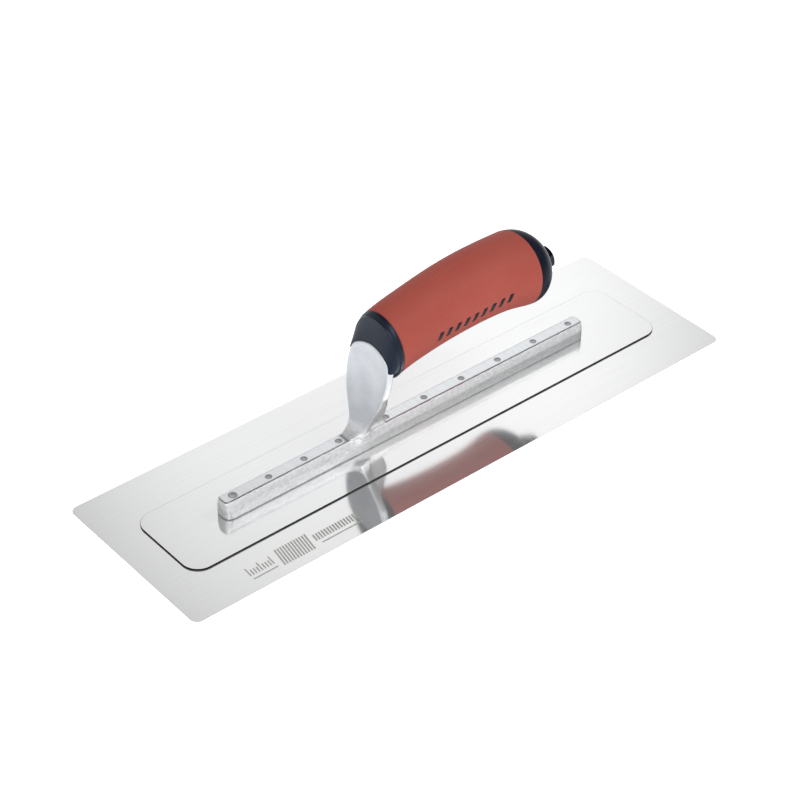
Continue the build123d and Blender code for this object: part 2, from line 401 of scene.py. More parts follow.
def bar_field(x, y, z):
    """Distance to the bar: near-vertical sides, shoulders, a flat milled top, ends rounded in plan."""
    half_length = (BAR_HEEL_X - BAR_TOE_X) / 2
    u = np.abs(x - (BAR_HEEL_X + BAR_TOE_X) / 2) - half_length + BAR_CORNER
    v = np.abs(y) - BAR_BASE_WIDTH / 2 + BAR_CORNER
    plan = np.hypot(np.maximum(u, 0), np.maximum(v, 0)) + np.minimum(np.maximum(u, v), 0) - BAR_CORNER
    plan = plan + 0.12 * np.maximum(z - BAR_SHOULDER_Z, 0)
    side_slope = (BAR_BASE_WIDTH - BAR_SHOULDER_WIDTH) / 2 / (BAR_SHOULDER_Z - BAR_BOTTOM)
    side = np.abs(y) - BAR_BASE_WIDTH / 2 + side_slope * (z - BAR_BOTTOM)
    shoulder_slope = (BAR_SHOULDER_WIDTH - BAR_TOP_WIDTH) / 2 / (BAR_TOP - BAR_SHOULDER_Z)
    shoulder = np.abs(y) - BAR_SHOULDER_WIDTH / 2 + shoulder_slope * (z - BAR_SHOULDER_Z)
    shoulder = shoulder / np.hypot(1, shoulder_slope)
    flanks = smooth_max(smooth_max(plan, side, 0.4), shoulder, 1.6)
    flanks = flanks + 0.5 * np.maximum(BAR_BOTTOM + 0.9 - z, 0)
    return np.maximum(smooth_max(flanks, z - BAR_TOP, 0.9), BAR_BOTTOM - z)


def leaf_field(x, y, z):
    """Distance to the leaf: a leaning plate with a softened outline."""
    middle = leaf_front(z) + LEAF_THICKNESS / 2
    slab = (np.abs(x - middle) - LEAF_THICKNESS / 2) * cos(LEAF_LEAN)
    return smooth_max(slab, leaf_edge(np.abs(y), z), 2.0)


def web_field(x, y, z):
    """Distance to the web behind the leaf."""
    return smooth_max(np.abs(y) - WEB_HALF_THICKNESS, web_edge(x, z), 3.2)


def head_field(x, y, z):
    """Distance to the round head that the tang screws into."""
    dx, dz = x - TANG_X, z - TANG_Z
    along = dx * cos(TANG_RISE) + dz * sin(TANG_RISE)
    radius = np.hypot(y, dz * cos(TANG_RISE) - dx * sin(TANG_RISE))
    front = leaf_front(z) + 1.5 - x
    rear = along - (HEAD_END_X - TANG_X) / cos(TANG_RISE)
    solid = np.maximum(np.maximum(radius - HEAD_RADIUS, front), rear)
    bore = np.maximum(radius - TANG_RADIUS, (TANG_FRONT_X - TANG_X) / cos(TANG_RISE) - along)
    return solid, bore


def casting_field(x, y, z):
    """Distance to the whole casting, with the shank flowing into the bar through soft fillets."""
    leaf = leaf_field(x, y, z)
    ahead = 1 / (1 + np.exp(np.clip((x - leaf_front(z) - 1.0) / 1.5, -30, 30)))
    shank = smooth_min(leaf, web_field(x, y, z), 6.5)
    foot = smooth_min(shank, bar_field(x, y, z), 4.5 + 10.5 * ahead)
    flare = np.abs(y) - BAR_SHOULDER_WIDTH / 2 - SIDE_FLARE * np.maximum(z - BAR_SHOULDER_Z, 0)
    foot = smooth_max(foot, flare, 0.8)
    solid, bore = head_field(x, y, z)
    whole = smooth_min(foot, solid, 1.0)
    return np.maximum(np.maximum(whole, -bore), BAR_BOTTOM - z)


def rivet_holes():
    """Cutters for the rivets, a little wider than their shanks."""
    gap = 0.12
    cutters = []
    for x, radius in [TOE_RIVET] + FRONT_RIVETS + REAR_RIVETS:
        wide = radius + gap
        place = lambda ring, x=x: ring + [x, 0, 0]
        cutters.append(turned("hole", [(wide, BAR_BOTTOM - 1), (wide, BAR_TOP + 4)], place, 40))
    return joined("holes", cutters)


def store(piece, name, values):
    """A value at each vertex, for the material."""
    layer = piece.data.attributes.new(name, "FLOAT", "POINT")
    layer.data.foreach_set("value", np.asarray(values, np.float32))


def vertex_array(piece):
    """The vertices of a piece in millimetres."""
    flat = np.zeros(len(piece.data.vertices) * 3)
    piece.data.vertices.foreach_get("co", flat)
    return flat.reshape(-1, 3) / MM


def ease(value, low, high):
    """A smooth step from 0 at low to 1 at high."""
    t = np.clip((value - low) / (high - low), 0, 1)
    return t * t * (3 - 2 * t)


def slope_at(points):
    """The outward direction of the casting's skin at points."""
    slope = gradient(casting_field, points)
    return slope / np.maximum(np.linalg.norm(slope, axis=1), 1e-6)[:, None]


def finishes(points, normal):
    """How far each point of the casting is milled or sanded, and how much painted shade it gets."""
    x, y, z = points.T
    milled = ease(z, BAR_TOP - 0.30, BAR_TOP - 0.08) * (1 - ease(z, BAR_TOP + 0.10, BAR_TOP + 0.5))
    milled *= np.abs(y) < BAR_TOP_WIDTH
    leaf = leaf_field(x, y, z)
    others = np.minimum(bar_field(x, y, z), web_field(x, y, z))
    facing = np.abs(normal @ np.array([-cos(LEAF_LEAN), 0, sin(LEAF_LEAN)]))
    ground = np.maximum(ease(facing, 0.45, 0.8), ease(z, SIDE_GROUND_Z - 0.6, SIDE_GROUND_Z + 0.6))
    sanded = ease(others - leaf, -1.0, 2.5) * ground * ease(z, BAR_TOP + 1.5, BAR_TOP + 7)
    behind = ease(x - leaf_front(z), -0.5, 2.0)
    # painted shade on the web and shank behind the leaf, where it is not sanded
    painted_shade = ease(z, BAR_TOP + 1, BAR_TOP + 4) * (1 - sanded) * behind
    # painted shade on the bar's flanks below the shoulder, growing from the leaf foot rearwards under
    # the handle
    flank_shade = 0.15 + 0.5 * ease(x, LEAF_FOOT_X - 25, LEAF_FOOT_X + 20)
    painted_shade = np.maximum(painted_shade, flank_shade * (1 - ease(z, BAR_SHOULDER_Z - 1.0, BAR_SHOULDER_Z + 0.6)))
    # painted contact shadow along the foot of the bar
    painted_shade = np.maximum(painted_shade, 1 - ease(z, BAR_BOTTOM + 0.5, BAR_BOTTOM + 1.1))
    return {"milled": milled, "sanded": sanded, "painted_shade": painted_shade}


def mounting():
    """The aluminium casting: bar, leaf, web and head in one skin."""
    step, reach, margin = 0.62, 18.9, 4.0
    low = (BAR_TOE_X - 2 * step, -reach, BAR_BOTTOM - 1.5 * step)
    high = (BAR_HEEL_X + 2 * step, reach, LEAF_CROWN_Z + margin)
    points, faces = surface_net(casting_field, low, high, step)
    normal = slope_at(points)
    finish = finishes(points, normal)
    rough = (1 - finish["milled"]) * (1 - finish["sanded"])
    rough = rough * ease(points[:, 2], BAR_BOTTOM + 1, BAR_BOTTOM + 4)
    coarse, fine, depth = 0.55, 1.3, 0.045
    grain = [noise.noise(Vector(p) * coarse) + 0.5 * noise.noise(Vector(p) * fine) for p in points]
    points = points + normal * (depth * np.array(grain) * rough)[:, None]
    piece = make_object("mounting_casting", points, faces.tolist())
    carve(piece, rivet_holes())
    points = vertex_array(piece)
    for name, values in finishes(points, slope_at(points)).items():
        store(piece, name, values)
    return smooth(piece, 42)


# ---------------------------------------------------------------- sheets
def rounded_rectangle(low, high, corner, inset, z):
    """A rectangle with arcs at its corners, seen from above."""
    radius, arc_points = corner - inset, 14
    ring = []
    for quarter, (cx, cy) in enumerate([
        (high[0] - corner, high[1] - corner),
        (low[0] + corner, high[1] - corner),
        (low[0] + corner, low[1] + corner),
        (high[0] - corner, low[1] + corner),
    ]):
        for i in range(arc_points + 1):
            angle = (quarter + i / arc_points) * pi / 2
            ring.append((cx + radius * cos(angle), cy + radius * sin(angle), z))
    return np.array(ring)


def sheet(name, low, high, corner, edge):
    """A flat sheet whose edges are broken by a small round."""
    rounds = [(edge * (1 - sin(turn)), edge * (1 - cos(turn))) for turn in (0, pi / 4, pi / 2)]
    rings = [rounded_rectangle(low, high, corner, inset, low[2] + rise) for inset, rise in rounds]
    for inset, rise in reversed(rounds):
        rings.append(rounded_rectangle(low, high, corner, inset, high[2] - rise))
    return smooth(loft(name, rings), 12)


def lay_grain(piece):
    """A map whose U runs along the sheet, so that the brushed grain has a direction."""
    layer = piece.data.uv_layers.new(name="grain")
    for loop in piece.data.loops:
        co = piece.data.vertices[loop.vertex_index].co
        layer.data[loop.index].uv = (co.x, co.y)


def add_edge_material(piece, material):
    """Give the cut edge of a sheet its own material."""
    piece.data.materials.append(material)
    for face in piece.data.polygons:
        if abs(face.normal.z) < 0.99:
            face.material_index = 1


# ---------------------------------------------------------------- materials
class Shader:
    """A material whose nodes are added by short calls."""

    def __init__(self, name, **settings):
        self.material = bpy.data.materials.new(name)
        self.material.use_nodes = True
        self.tree = self.material.node_tree
        self.surface = self.tree.nodes["Principled BSDF"]
        for socket, value in settings.items():
            self.surface.inputs[socket.replace("_", " ")].default_value = value
        self.place = self.add("ShaderNodeTexCoord").outputs["Object"]

    def add(self, kind, **settings):
        """A node with properties or socket values."""
        node = self.tree.nodes.new(kind)
        for key, value in settings.items():
            label = key.replace("_", " ")
            if label in node.inputs:
                node.inputs[label].default_value = value
            else:
                setattr(node, key, value)
        return node

    def join(self, source, target):
        self.tree.links.new(source, target)

    def noise(self, scale, stretch=(1, 1, 1), detail=3.0, roughness=0.55, turn=(0, 0, 0)):
        """A noise value; scale is in features per metre along each stretched axis."""
        spin = self.add("ShaderNodeVectorRotate", rotation_type="EULER_XYZ")
        spin.inputs["Rotation"].default_value = turn
        self.join(self.place, spin.inputs["Vector"])
        mapping = self.add("ShaderNodeMapping")
        mapping.inputs["Scale"].default_value = [scale * s for s in stretch]
        self.join(spin.outputs["Vector"], mapping.inputs["Vector"])
        texture = self.add("ShaderNodeTexNoise", Scale=1.0, Detail=detail, Roughness=roughness)
        self.join(mapping.outputs["Vector"], texture.inputs["Vector"])
        return texture.outputs["Fac"]

    def cells(self, scale):
        """A cellular value."""
        texture = self.add("ShaderNodeTexVoronoi", Scale=scale)
        self.join(self.place, texture.inputs["Vector"])
        return texture.outputs["Distance"]

    def attribute(self, name):
        """A value stored on the mesh."""
        return self.add("ShaderNodeAttribute", attribute_name=name).outputs["Fac"]

    def span(self, value, to_low, to_high, from_low=0.3, from_high=0.7):
        """A value spread over a range."""
        node = self.add("ShaderNodeMapRange")
        limits = {"From Min": from_low, "From Max": from_high, "To Min": to_low, "To Max": to_high}
        for label, number in limits.items():
            node.inputs[label].default_value = number
        self.join(value, node.inputs["Value"])
        return node.outputs["Result"]

    def math(self, operation, a, b):
        """Arithmetic on two values; either may be a number."""
        node = self.add("ShaderNodeMath", operation=operation)
        for i, value in enumerate((a, b)):
            if isinstance(value, (int, float)):
                node.inputs[i].default_value = value
            else:
                self.join(value, node.inputs[i])
        return node.outputs["Value"]

    def blend(self, share, a, b):
        """A colour between two colours; each may be a tuple or a socket."""
        node = self.add("ShaderNodeMix", data_type="RGBA")
        self.join(share, node.inputs[0])
        for socket, value in ((node.inputs[6], a), (node.inputs[7], b)):
            if isinstance(value, tuple):
                socket.default_value = (*value, 1)
            else:
                self.join(value, socket)
        return node.outputs[2]

    def tint(self, value, low, high):
        """A colour that wanders between two colours with a noise value."""
        return self.blend(self.span(value, 0, 1), low, high)

    def weigh(self, a, share_a, b, share_b):
        """The weighted sum of two values."""
        return self.math("ADD", self.math("MULTIPLY", a, share_a), self.math("MULTIPLY", b, share_b))

    def mix(self, share, a, b):
        """A value between two values."""
        node = self.add("ShaderNodeMix", data_type="FLOAT")
        for socket, value in ((node.inputs[0], share), (node.inputs[2], a), (node.inputs[3], b)):
            if isinstance(value, (int, float)):
                socket.default_value = value
            else:
                self.join(value, socket)
        return node.outputs[0]

    def bump(self, height, depth, strength=1.0):
        """Relief of the given depth in metres, on top of any relief already there."""
        node = self.add("ShaderNodeBump", Strength=strength, Distance=depth)
        self.join(height, node.inputs["Height"])
        if self.surface.inputs["Normal"].is_linked:
            self.join(self.surface.inputs["Normal"].links[0].from_socket, node.inputs["Normal"])
        self.join(node.outputs["Normal"], self.surface.inputs["Normal"])

    def colour(self, socket):
        self.join(socket, self.surface.inputs["Base Color"])

    def roughness(self, socket):
        self.join(socket, self.surface.inputs["Roughness"])


def brushed_steel(name, tone, gloss, haze):
    """Bright rolled steel, finely brushed along the sheet."""
    shader = Shader(name, Metallic=0.8, Anisotropic=0.5, Anisotropic_Rotation=0.25)
    tangent = shader.add("ShaderNodeTangent", direction_type="UV_MAP", uv_map="grain")
    shader.join(tangent.outputs["Tangent"], shader.surface.inputs["Tangent"])
    streaks = shader.noise(1.0, (9, 900, 900), 4, 0.7)
    hairs = shader.noise(1.0, (45, 5200, 5200), 2, 0.6)
    clouds = shader.noise(9.0, (0.5, 1.4, 1), 3, 0.5)
    grain = shader.weigh(streaks, 0.6, hairs, 0.4)
    low, high = (tuple(c * (1 - haze) for c in tone), tuple(min(1, c * (1 + haze)) for c in tone))
    shader.colour(shader.tint(grain, low, high))
    worn = shader.weigh(grain, 0.7, clouds, 0.3)
    shader.roughness(shader.span(worn, gloss * 0.8, gloss * 1.3))
    shader.bump(grain, 0.000004, 0.5)
    return shader.material


def dark_reflection_edge(name):
    """The cut edge of a sheet, near black as a painted dark reflection, with marks square to it."""
    shader = Shader(name, Metallic=1.0)
    marks = shader.noise(1.0, (1500, 1500, 160), 3, 0.6)
    # near-black colour: painted dark reflection on the steel edge
    shader.colour(shader.tint(marks, (0.004, 0.004, 0.005), (0.014, 0.014, 0.015)))
    shader.roughness(shader.span(marks, 0.45, 0.65))
    shader.bump(marks, 0.00004, 0.6)
    return shader.material


def cast_aluminium(name):
    """Sanded on the leaf, milled across the bar's top, sparkling and rough where it was cast."""
    shader = Shader(name, Metallic=1.0)
    sanded = shader.attribute("sanded")
    milled = shader.attribute("milled")
    skin = shader.noise(1300, (1, 1, 1), 5, 0.7)
    pits = shader.cells(1700)
    lumps = shader.noise(620, (0.6, 1, 1), 4, 0.65)
    drawn = shader.noise(1.0, (90, 1500, 1500), 3, 0.6)
    cuts = shader.noise(1.0, (1500, 40, 40), 3, 0.7)
    grit = shader.noise(1.0, (500, 160, 2600), 3, 0.7, (0.7, 0, 0))
    tint = shader.noise(60, (0.6, 1, 1), 3, 0.5)
    cast = shader.tint(lumps, (0.72, 0.73, 0.745), (0.97, 0.97, 0.98))
    # the darker cast tone below is painted shade, blended in where the mesh's shade value is high
    shade_tone = shader.tint(lumps, (0.30, 0.31, 0.31), (0.45, 0.46, 0.46))
    cast = shader.blend(shader.attribute("painted_shade"), cast, shade_tone)
    worn = shader.weigh(tint, 0.6, grit, 0.4)
    sand = shader.tint(worn, (0.53, 0.555, 0.595), (0.74, 0.765, 0.80))
    mill = shader.tint(cuts, (0.49, 0.505, 0.525), (0.71, 0.725, 0.74))
    shader.colour(shader.blend(milled, shader.blend(sanded, cast, sand), mill))
    rough_cast = shader.span(skin, 0.36, 0.62)
    rough_sand = shader.span(grit, 0.42, 0.56)
    rough_mill = shader.span(cuts, 0.13, 0.25)
    shader.roughness(shader.mix(milled, shader.mix(sanded, rough_cast, rough_sand), rough_mill))
    as_cast = shader.math("SUBTRACT", 1.0, shader.math("MAXIMUM", sanded, milled))
    shader.bump(shader.math("MULTIPLY", lumps, as_cast), 0.00045, 0.55)
    shader.bump(shader.math("MULTIPLY", drawn, as_cast), 0.00016, 0.5)
    shader.bump(shader.math("MULTIPLY", shader.math("MULTIPLY", skin, pits), as_cast), 0.0006, 0.55)
    shader.bump(shader.math("MULTIPLY", grit, sanded), 0.00025, 0.6)
    shader.bump(shader.math("MULTIPLY", cuts, milled), 0.00005, 0.5)
    return shader.material


def rivet_steel(name):
    """Flush steel heads, duller than the aluminium round them."""
    shader = Shader(name, Metallic=1.0)
    blotch = shader.noise(700, (1, 1, 1), 3, 0.6)
    scuff = shader.noise(1.0, (3000, 350, 350), 2, 0.6)
    shader.colour(shader.tint(blotch, (0.34, 0.35, 0.365), (0.52, 0.53, 0.545)))
    shader.roughness(shader.span(scuff, 0.26, 0.42))
    shader.bump(blotch, 0.00008, 0.5)
    shader.bump(scuff, 0.00003, 0.5)
    return shader.material


def moulded_plastic(name, low, high, gloss, shine=0.14):
    """Dark moulded plastic with a fine spark-eroded grain and soft handling marks."""
    shader = Shader(name, Specular_IOR_Level=shine, Specular_Tint=(0.62, 0.78, 1.0, 1))
    grain = shader.noise(1600, (1, 1, 1), 3, 0.6)
    rubbed = shader.noise(42, (0.7, 1, 1), 3, 0.5)
    shader.colour(shader.tint(rubbed, low, high))
    wear = shader.weigh(rubbed, 0.6, grain, 0.4)
    shader.roughness(shader.span(wear, gloss * 0.8, gloss * 1.25))
    shader.bump(grain, 0.00003, 0.6)
    return shader.material


def soft_grip(name):
    """Matt red elastomer with a fine leathery grain and painted shade in its hollows."""
    shader = Shader(name, Specular_IOR_Level=0.16)
    grain = shader.noise(1500, (1, 1, 1), 4, 0.6)
    pores = shader.cells(1100)
    clouds = shader.noise(34, (0.6, 1, 1), 3, 0.5)
    base = shader.tint(clouds, (0.330, 0.066, 0.049), (0.372, 0.080, 0.060))
    # painted shade: the lowest points of the grain get a darker red
    shader.colour(shader.blend(shader.span(grain, 0, 0.35), base, (0.275, 0.048, 0.035)))
    wear = shader.weigh(clouds, 0.5, grain, 0.5)
    shader.roughness(shader.span(wear, 0.52, 0.68))
    shader.bump(shader.math("ADD", grain, pores), 0.00005, 0.6)
    return shader.material


def plated_steel(name, low, high, gloss):
    """Plated or oiled steel hardware with turning marks and small scuffs."""
    shader = Shader(name, Metallic=1.0)
    marks = shader.noise(1.0, (2600, 500, 500), 3, 0.6)
    stains = shader.noise(160, (1, 1, 1), 3, 0.6)
    shader.colour(shader.tint(stains, low, high))
    shader.roughness(shader.span(marks, gloss * 0.8, gloss * 1.3))
    shader.bump(marks, 0.00004, 0.5)
    return shader.material


def etched_steel(name):
    """Acid-etched steel: pale, matt and slightly granular."""
    shader = Shader(name, Metallic=0.6)
    grain = shader.noise(2400, (1, 1, 1), 3, 0.7)
    shader.colour(shader.tint(grain, (0.40, 0.40, 0.37), (0.54, 0.54, 0.51)))
    shader.roughness(shader.span(grain, 0.5, 0.7))
    shader.bump(grain, 0.00003, 0.6)
    return shader.material


# ---------------------------------------------------------------- handle pieces
def round_angles():
    """Angles round a section, closer together at the parting line on top."""
    even = even_angles(144)
    fine = pi / 2 + np.array([-0.030, -0.022, -0.014, -0.007, 0.007, 0.014, 0.022, 0.030])
    kept = even[(np.abs(even - pi / 2) > 0.036) | (np.abs(even - pi / 2) < 1e-6)]
    return np.sort(np.concatenate([kept, fine]))


def inlay_outline(i):
    """The corners of one slanted bar in side view."""
    x = INLAY_X + i * INLAY_PITCH
    z = INLAY_Z + i * INLAY_PITCH * INLAY_RISE
    top_x, top_z = x + INLAY_SLANT, z + INLAY_HEIGHT
    return [(x, z), (x + INLAY_WIDTH, z), (x + INLAY_WIDTH + INLAY_SLANT, top_z), (top_x, top_z)]


def rounded_outline(corners, radius, grow):
    """A closed outline with arcs at its corners, moved outwards by grow."""
    corners = [Vector(p) for p in corners]
    arc_points = 4
    ring = []
    for i, corner in enumerate(corners):
        before = (corners[i - 1] - corner).normalized()
        after = (corners[(i + 1) % len(corners)] - corner).normalized()
        half = before.angle(after) / 2
        middle = (before + after).normalized()
        centre = corner + middle * radius / sin(half)
        start = centre - corner
        sweep = pi / 2 - half
        for k in range(-arc_points, arc_points + 1):
            turn = Matrix.Rotation(sweep * k / arc_points, 2)
            ring.append(centre - (turn @ middle) * (radius + grow))
    return ring


def inlay_bar(skin, outline, side, depth, proud, grow, edge):
    """One inlaid bar as a closed slab bent to the grip's skin."""
    corner = 0.55
    ring = rounded_outline(outline, corner, grow)
    inner = rounded_outline(outline, corner, grow - edge)
    middle = sum(ring, Vector((0, 0))) / len(ring)

    def on_skin(point, lift):
        start = Vector((point[0], side * 60, point[1])) * MM
        hit, normal, _, _ = skin.ray_cast(start, Vector((0, -side, 0)))
        return np.array(hit) / MM + np.array(normal) * lift

    levels = [(ring, -depth), (ring, proud - edge), (inner, proud)]
    for share in (0.6, 0.25):
        levels.append(([middle + (p - middle) * share for p in inner], proud))
    rings = [np.array([on_skin(p, lift) for p in points]) for points, lift in levels]
    base = []
    for share in (0.25, 0.6):
        base.append(np.array([on_skin(middle + (p - middle) * share, -depth) for p in ring]))
    return loft("bar", base + rings)


def inlays(name, skin, depth, proud, grow, edge):
    """The slanted bars on both sides of the grip."""
    bars = []
    for i in range(INLAY_COUNT):
        for side in (-1, 1):
            bars.append(inlay_bar(skin, inlay_outline(i), side, depth, proud, grow, edge))
    return joined(name, bars)


def end_round(station, angles, edge, direction):
    """Rings that roll an end of a sleeve over; direction is 1 where the sleeve runs on towards +X."""
    rings = []
    for step in (0.0, 0.35, 0.7):
        turn = step * pi / 2
        inset = SEAM_HEIGHT + edge * (1 - sin(turn))
        rings.append(ellipse(station, angles, inset, direction * edge * (1 - cos(turn))))
    return rings[::direction]


def grip_skin():
    """The elastomer sleeve: outer skin with a parting line on top, rolled ends and a plain bore."""
    angles = round_angles()
    seam = SEAM_HEIGHT * np.exp(-((angles - pi / 2) / 0.012) ** 2)
    stations = smooth_line(GRIP_STATIONS, 16)
    rings = end_round(stations[0], angles, 0.7, 1)
    for station in stations[1:-1]:
        rings.append(ellipse(station, angles, SEAM_HEIGHT - seam))
    rings += end_round(stations[-1], angles, 0.5, -1)
    for station in stations[::-4]:
        rings.append(ellipse(station, angles, SLEEVE_THICKNESS))
    return loft("grip_skin", rings, closed=True)


def skin_of(piece):
    """A tree for finding points on a piece's surface."""
    piece.data.update()
    points = [v.co for v in piece.data.vertices]
    return BVHTree.FromPolygons(points, [p.vertices for p in piece.data.polygons])


def gate_marks(skin):
    """Cutters for the two small moulding dimples near the rear of the grip's top."""
    radius, depth = 1.5, 0.4
    cutters = []
    for x, y in ((73.8, 7.0), (73.6, -4.7)):
        hit, normal, _, _ = skin.ray_cast(Vector((x, y, 140)) * MM, Vector((0, 0, -1)))
        centre = np.array(hit) / MM + np.array(normal) * (radius - depth)
        turns = np.linspace(-pi / 2, pi / 2, 15)[1:-1]
        profile = [(radius * cos(t), radius * sin(t)) for t in turns]
        cutters.append(turned("dimple", profile, lambda ring, centre=centre: ring + centre, 24))
    return joined("dimples", cutters)


def grip_and_inlays():
    """The sleeve with its pockets, and the bars that fill them."""
    sleeve = grip_skin()
    skin = skin_of(sleeve)
    pockets = inlays("pockets", skin, INLAY_DEPTH + 0.05, 1.0, 0.06, 0.0)
    bars = inlays("grip_bars", skin, INLAY_DEPTH, 0.05, 0.0, 0.14)
    carve(sleeve, pockets)
    carve(sleeve, gate_marks(skin))
    sleeve.name = "grip_sleeve_skin"
    return smooth(sleeve, 35), smooth(bars, 30)


def prism(points, half_width):
    """A flat outline in side view, thickened equally to both sides."""
    rings = [np.array([(x, side * half_width, z) for x, z in points]) for side in (-1, 1)]
    return loft("prism", rings)


def casting_cutter():
    """The part of the casting that stands in the collar, a hair larger."""
    low, high = (-42.0, -19.5, 40.0), (-9.0, 19.5, 85.0)
    step, gap, inside = 0.8, 0.03, 2

    def field(x, y, z):
        ends = np.maximum(low[2] + inside - z, x - high[0] + inside)
        return np.maximum(casting_field(x, y, z) - gap, ends)

    points, faces = surface_net(field, low, high, step)
    return make_object("casting_cutter", points, faces.tolist())


def collar():
    """The collar: a cone with a raised band beside the grip, cut to its chin and round the leaf."""
    angles = even_angles(160)
    lip, shoulder, back = (np.array(s) for s in (LIP, SHOULDER, GRIP_STATIONS[0]))
    rings = [ellipse(lip, angles, 8.0), ellipse(lip, angles, 0.6), ellipse(lip, angles, 0.15, 0.15)]
    for share in np.linspace(0.08, 0.94, 14):
        rings.append(ellipse(lip + (shoulder - lip) * share, angles))
    band = [
        (0.0, 0.22), (0.08, 0.42), (0.2, 0.45), (0.32, 0.30), (0.40, 0.05),
        (0.52, 0.0), (0.78, 0.0), (0.92, 0.1), (1.0, 0.5),
    ]
    for share, inset in band:
        rings.append(ellipse(shoulder + (back - shoulder) * share, angles, inset))
    piece = loft("collar_cone", rings)
    carve(piece, prism(CHIN + [(CHIN[-1][0], 0), (CHIN[0][0], 0)], 40))
    carve(piece, casting_cutter())
    piece.name = "collar_cone"
    return smooth(piece, 32)


def cap_rings():
    """Sections of the dome from the grip to its tip."""
    x, z, tilt, half_width, half_height = GRIP_STATIONS[-1]
    drop = radians(CAP_AXIS_DROP)
    rings = []
    for turn in np.linspace(0, pi / 2, 34)[:-1]:
        share = sin(turn)
        size = (1 - share ** CAP_ROUNDNESS) ** (1 / CAP_ROUNDNESS)
        ring_x = x + CAP_HEIGHT * share * cos(drop)
        ring_z = z + CAP_HEIGHT * share * sin(drop)
        ring_tilt = tilt + (CAP_AXIS_DROP - tilt) * share
        rings.append((ring_x, ring_z, ring_tilt, half_width * size, half_height * size))
    return rings


def end_cap():
    """The hollow domed cap with a flat round seat for the nut."""
    angles = even_angles(144)
    first = GRIP_STATIONS[-1]
    rings = [ellipse(first, angles, CAP_WALL, CAP_POCKET_DEPTH), ellipse(first, angles, CAP_WALL)]
    rings.append(ellipse(first, angles, 0.75))
    groove, groove_rings = 0.35, 8
    for i, station in enumerate(cap_rings()):
        rings.append(ellipse(station, angles, groove * max(0, 1 - i / groove_rings)))
    piece = loft("end_cap_dome", rings)
    overlap, bevel = 2, 0.5
    depth = SEAT_X - first[0] - CAP_POCKET_DEPTH - overlap
    boss = [(SEAT_RADIUS, 0), (SEAT_RADIUS, depth - bevel), (SEAT_RADIUS - bevel, depth)]
    carve(piece, turned("boss", boss, tang_frame(SEAT_X - depth * cos(TANG_RISE)), 96), "UNION")
    bore = TANG_RADIUS + TANG_CLEARANCE
    carve(piece, turned("bore", [(bore, 0), (bore, 60)], tang_frame(60), 48))
    piece.name = "end_cap_dome"
    return smooth(piece, 30)


# ---------------------------------------------------------------- rivets, washer, nut and rod
def rivet(x, radius):
    """A flush rivet: a shank with a broken edge and a faint dished head."""
    profile = [
        (radius, FILM_BOTTOM), (radius, BAR_TOP - 0.16), (radius - 0.06, BAR_TOP - 0.05),
        (radius - 0.2, BAR_TOP), (radius * 0.72, BAR_TOP - 0.02),
        (radius * 0.6, BAR_TOP - 0.07), (radius * 0.2, BAR_TOP - 0.09),
    ]
    return turned("rivet", profile, lambda ring: ring + [x, 0, 0], 40)


def rivets(name, places):
    """A group of rivets in one piece."""
    return smooth(joined(name, [rivet(x, radius) for x, radius in places]), 25)


def washer():
    """A flat washer with broken edges."""
    inner, outer, high, edge = TANG_RADIUS + TANG_CLEARANCE, WASHER_RADIUS, WASHER_THICKNESS, 0.2
    profile = [
        (inner, edge), (inner + edge, 0), (outer - edge, 0), (outer, edge),
        (outer, high - edge), (outer - edge, high), (inner + edge, high), (inner, high - edge),
    ]
    return smooth(turned("washer_ring", profile, tang_frame(SEAT_X), 72, closed=True), 30)


def lock_nut():
    """A hexagon nut with chamfered corners and a countersunk bore."""
    flat = NUT_ACROSS_FLATS / 2
    angles = even_angles(120)
    offset = (angles + NUT_TURN + pi / 6) % (pi / 3) - pi / 6
    hexagon = flat / np.cos(offset)
    circle = flat * 0.96
    drop = np.maximum(hexagon - circle, 0) * tan(radians(30))
    bore, sink = TANG_RADIUS, 0.5
    levels = [
        (bore, sink), (bore + sink, 0.0), (circle, 0.0), (hexagon, drop),
        (hexagon, NUT_HEIGHT - drop), (circle, NUT_HEIGHT),
        (bore + sink, NUT_HEIGHT), (bore, NUT_HEIGHT - sink),
    ]
    place = tang_frame(SEAT_X + WASHER_THICKNESS * cos(TANG_RISE))
    rings = [place(round_ring(radius, angles, height)) for radius, height in levels]
    return smooth(loft("hexagon_nut", rings, closed=True), 20)


def tang_rod():
    """The rod, with a cut thread over its rear end."""
    pitch, thread_depth, thread_length = 1.25, 0.5, 18.0
    angles = even_angles(48)
    end_x = SEAT_X + (WASHER_THICKNESS + NUT_HEIGHT) * cos(TANG_RISE)
    length = (end_x - TANG_FRONT_X) / cos(TANG_RISE)
    thread_start = length - thread_length
    turns = np.arange(thread_start + 0.2, length - 0.6, pitch / 6)
    heights = np.concatenate([[0, thread_start], turns])
    place = tang_frame(TANG_FRONT_X)
    rings = []
    for height in heights:
        phase = (height / pitch + angles / (2 * pi)) % 1
        groove = thread_depth * (1 - np.abs(2 * phase - 1)) * (height > thread_start)
        rings.append(place(round_ring(TANG_RADIUS - groove, angles, height)))
    for radius, height in ((TANG_RADIUS - 0.55, length - 0.5), (TANG_RADIUS - 0.9, length)):
        rings.append(place(round_ring(radius, angles, height)))
    return smooth(loft("threaded_rod", rings), 40)


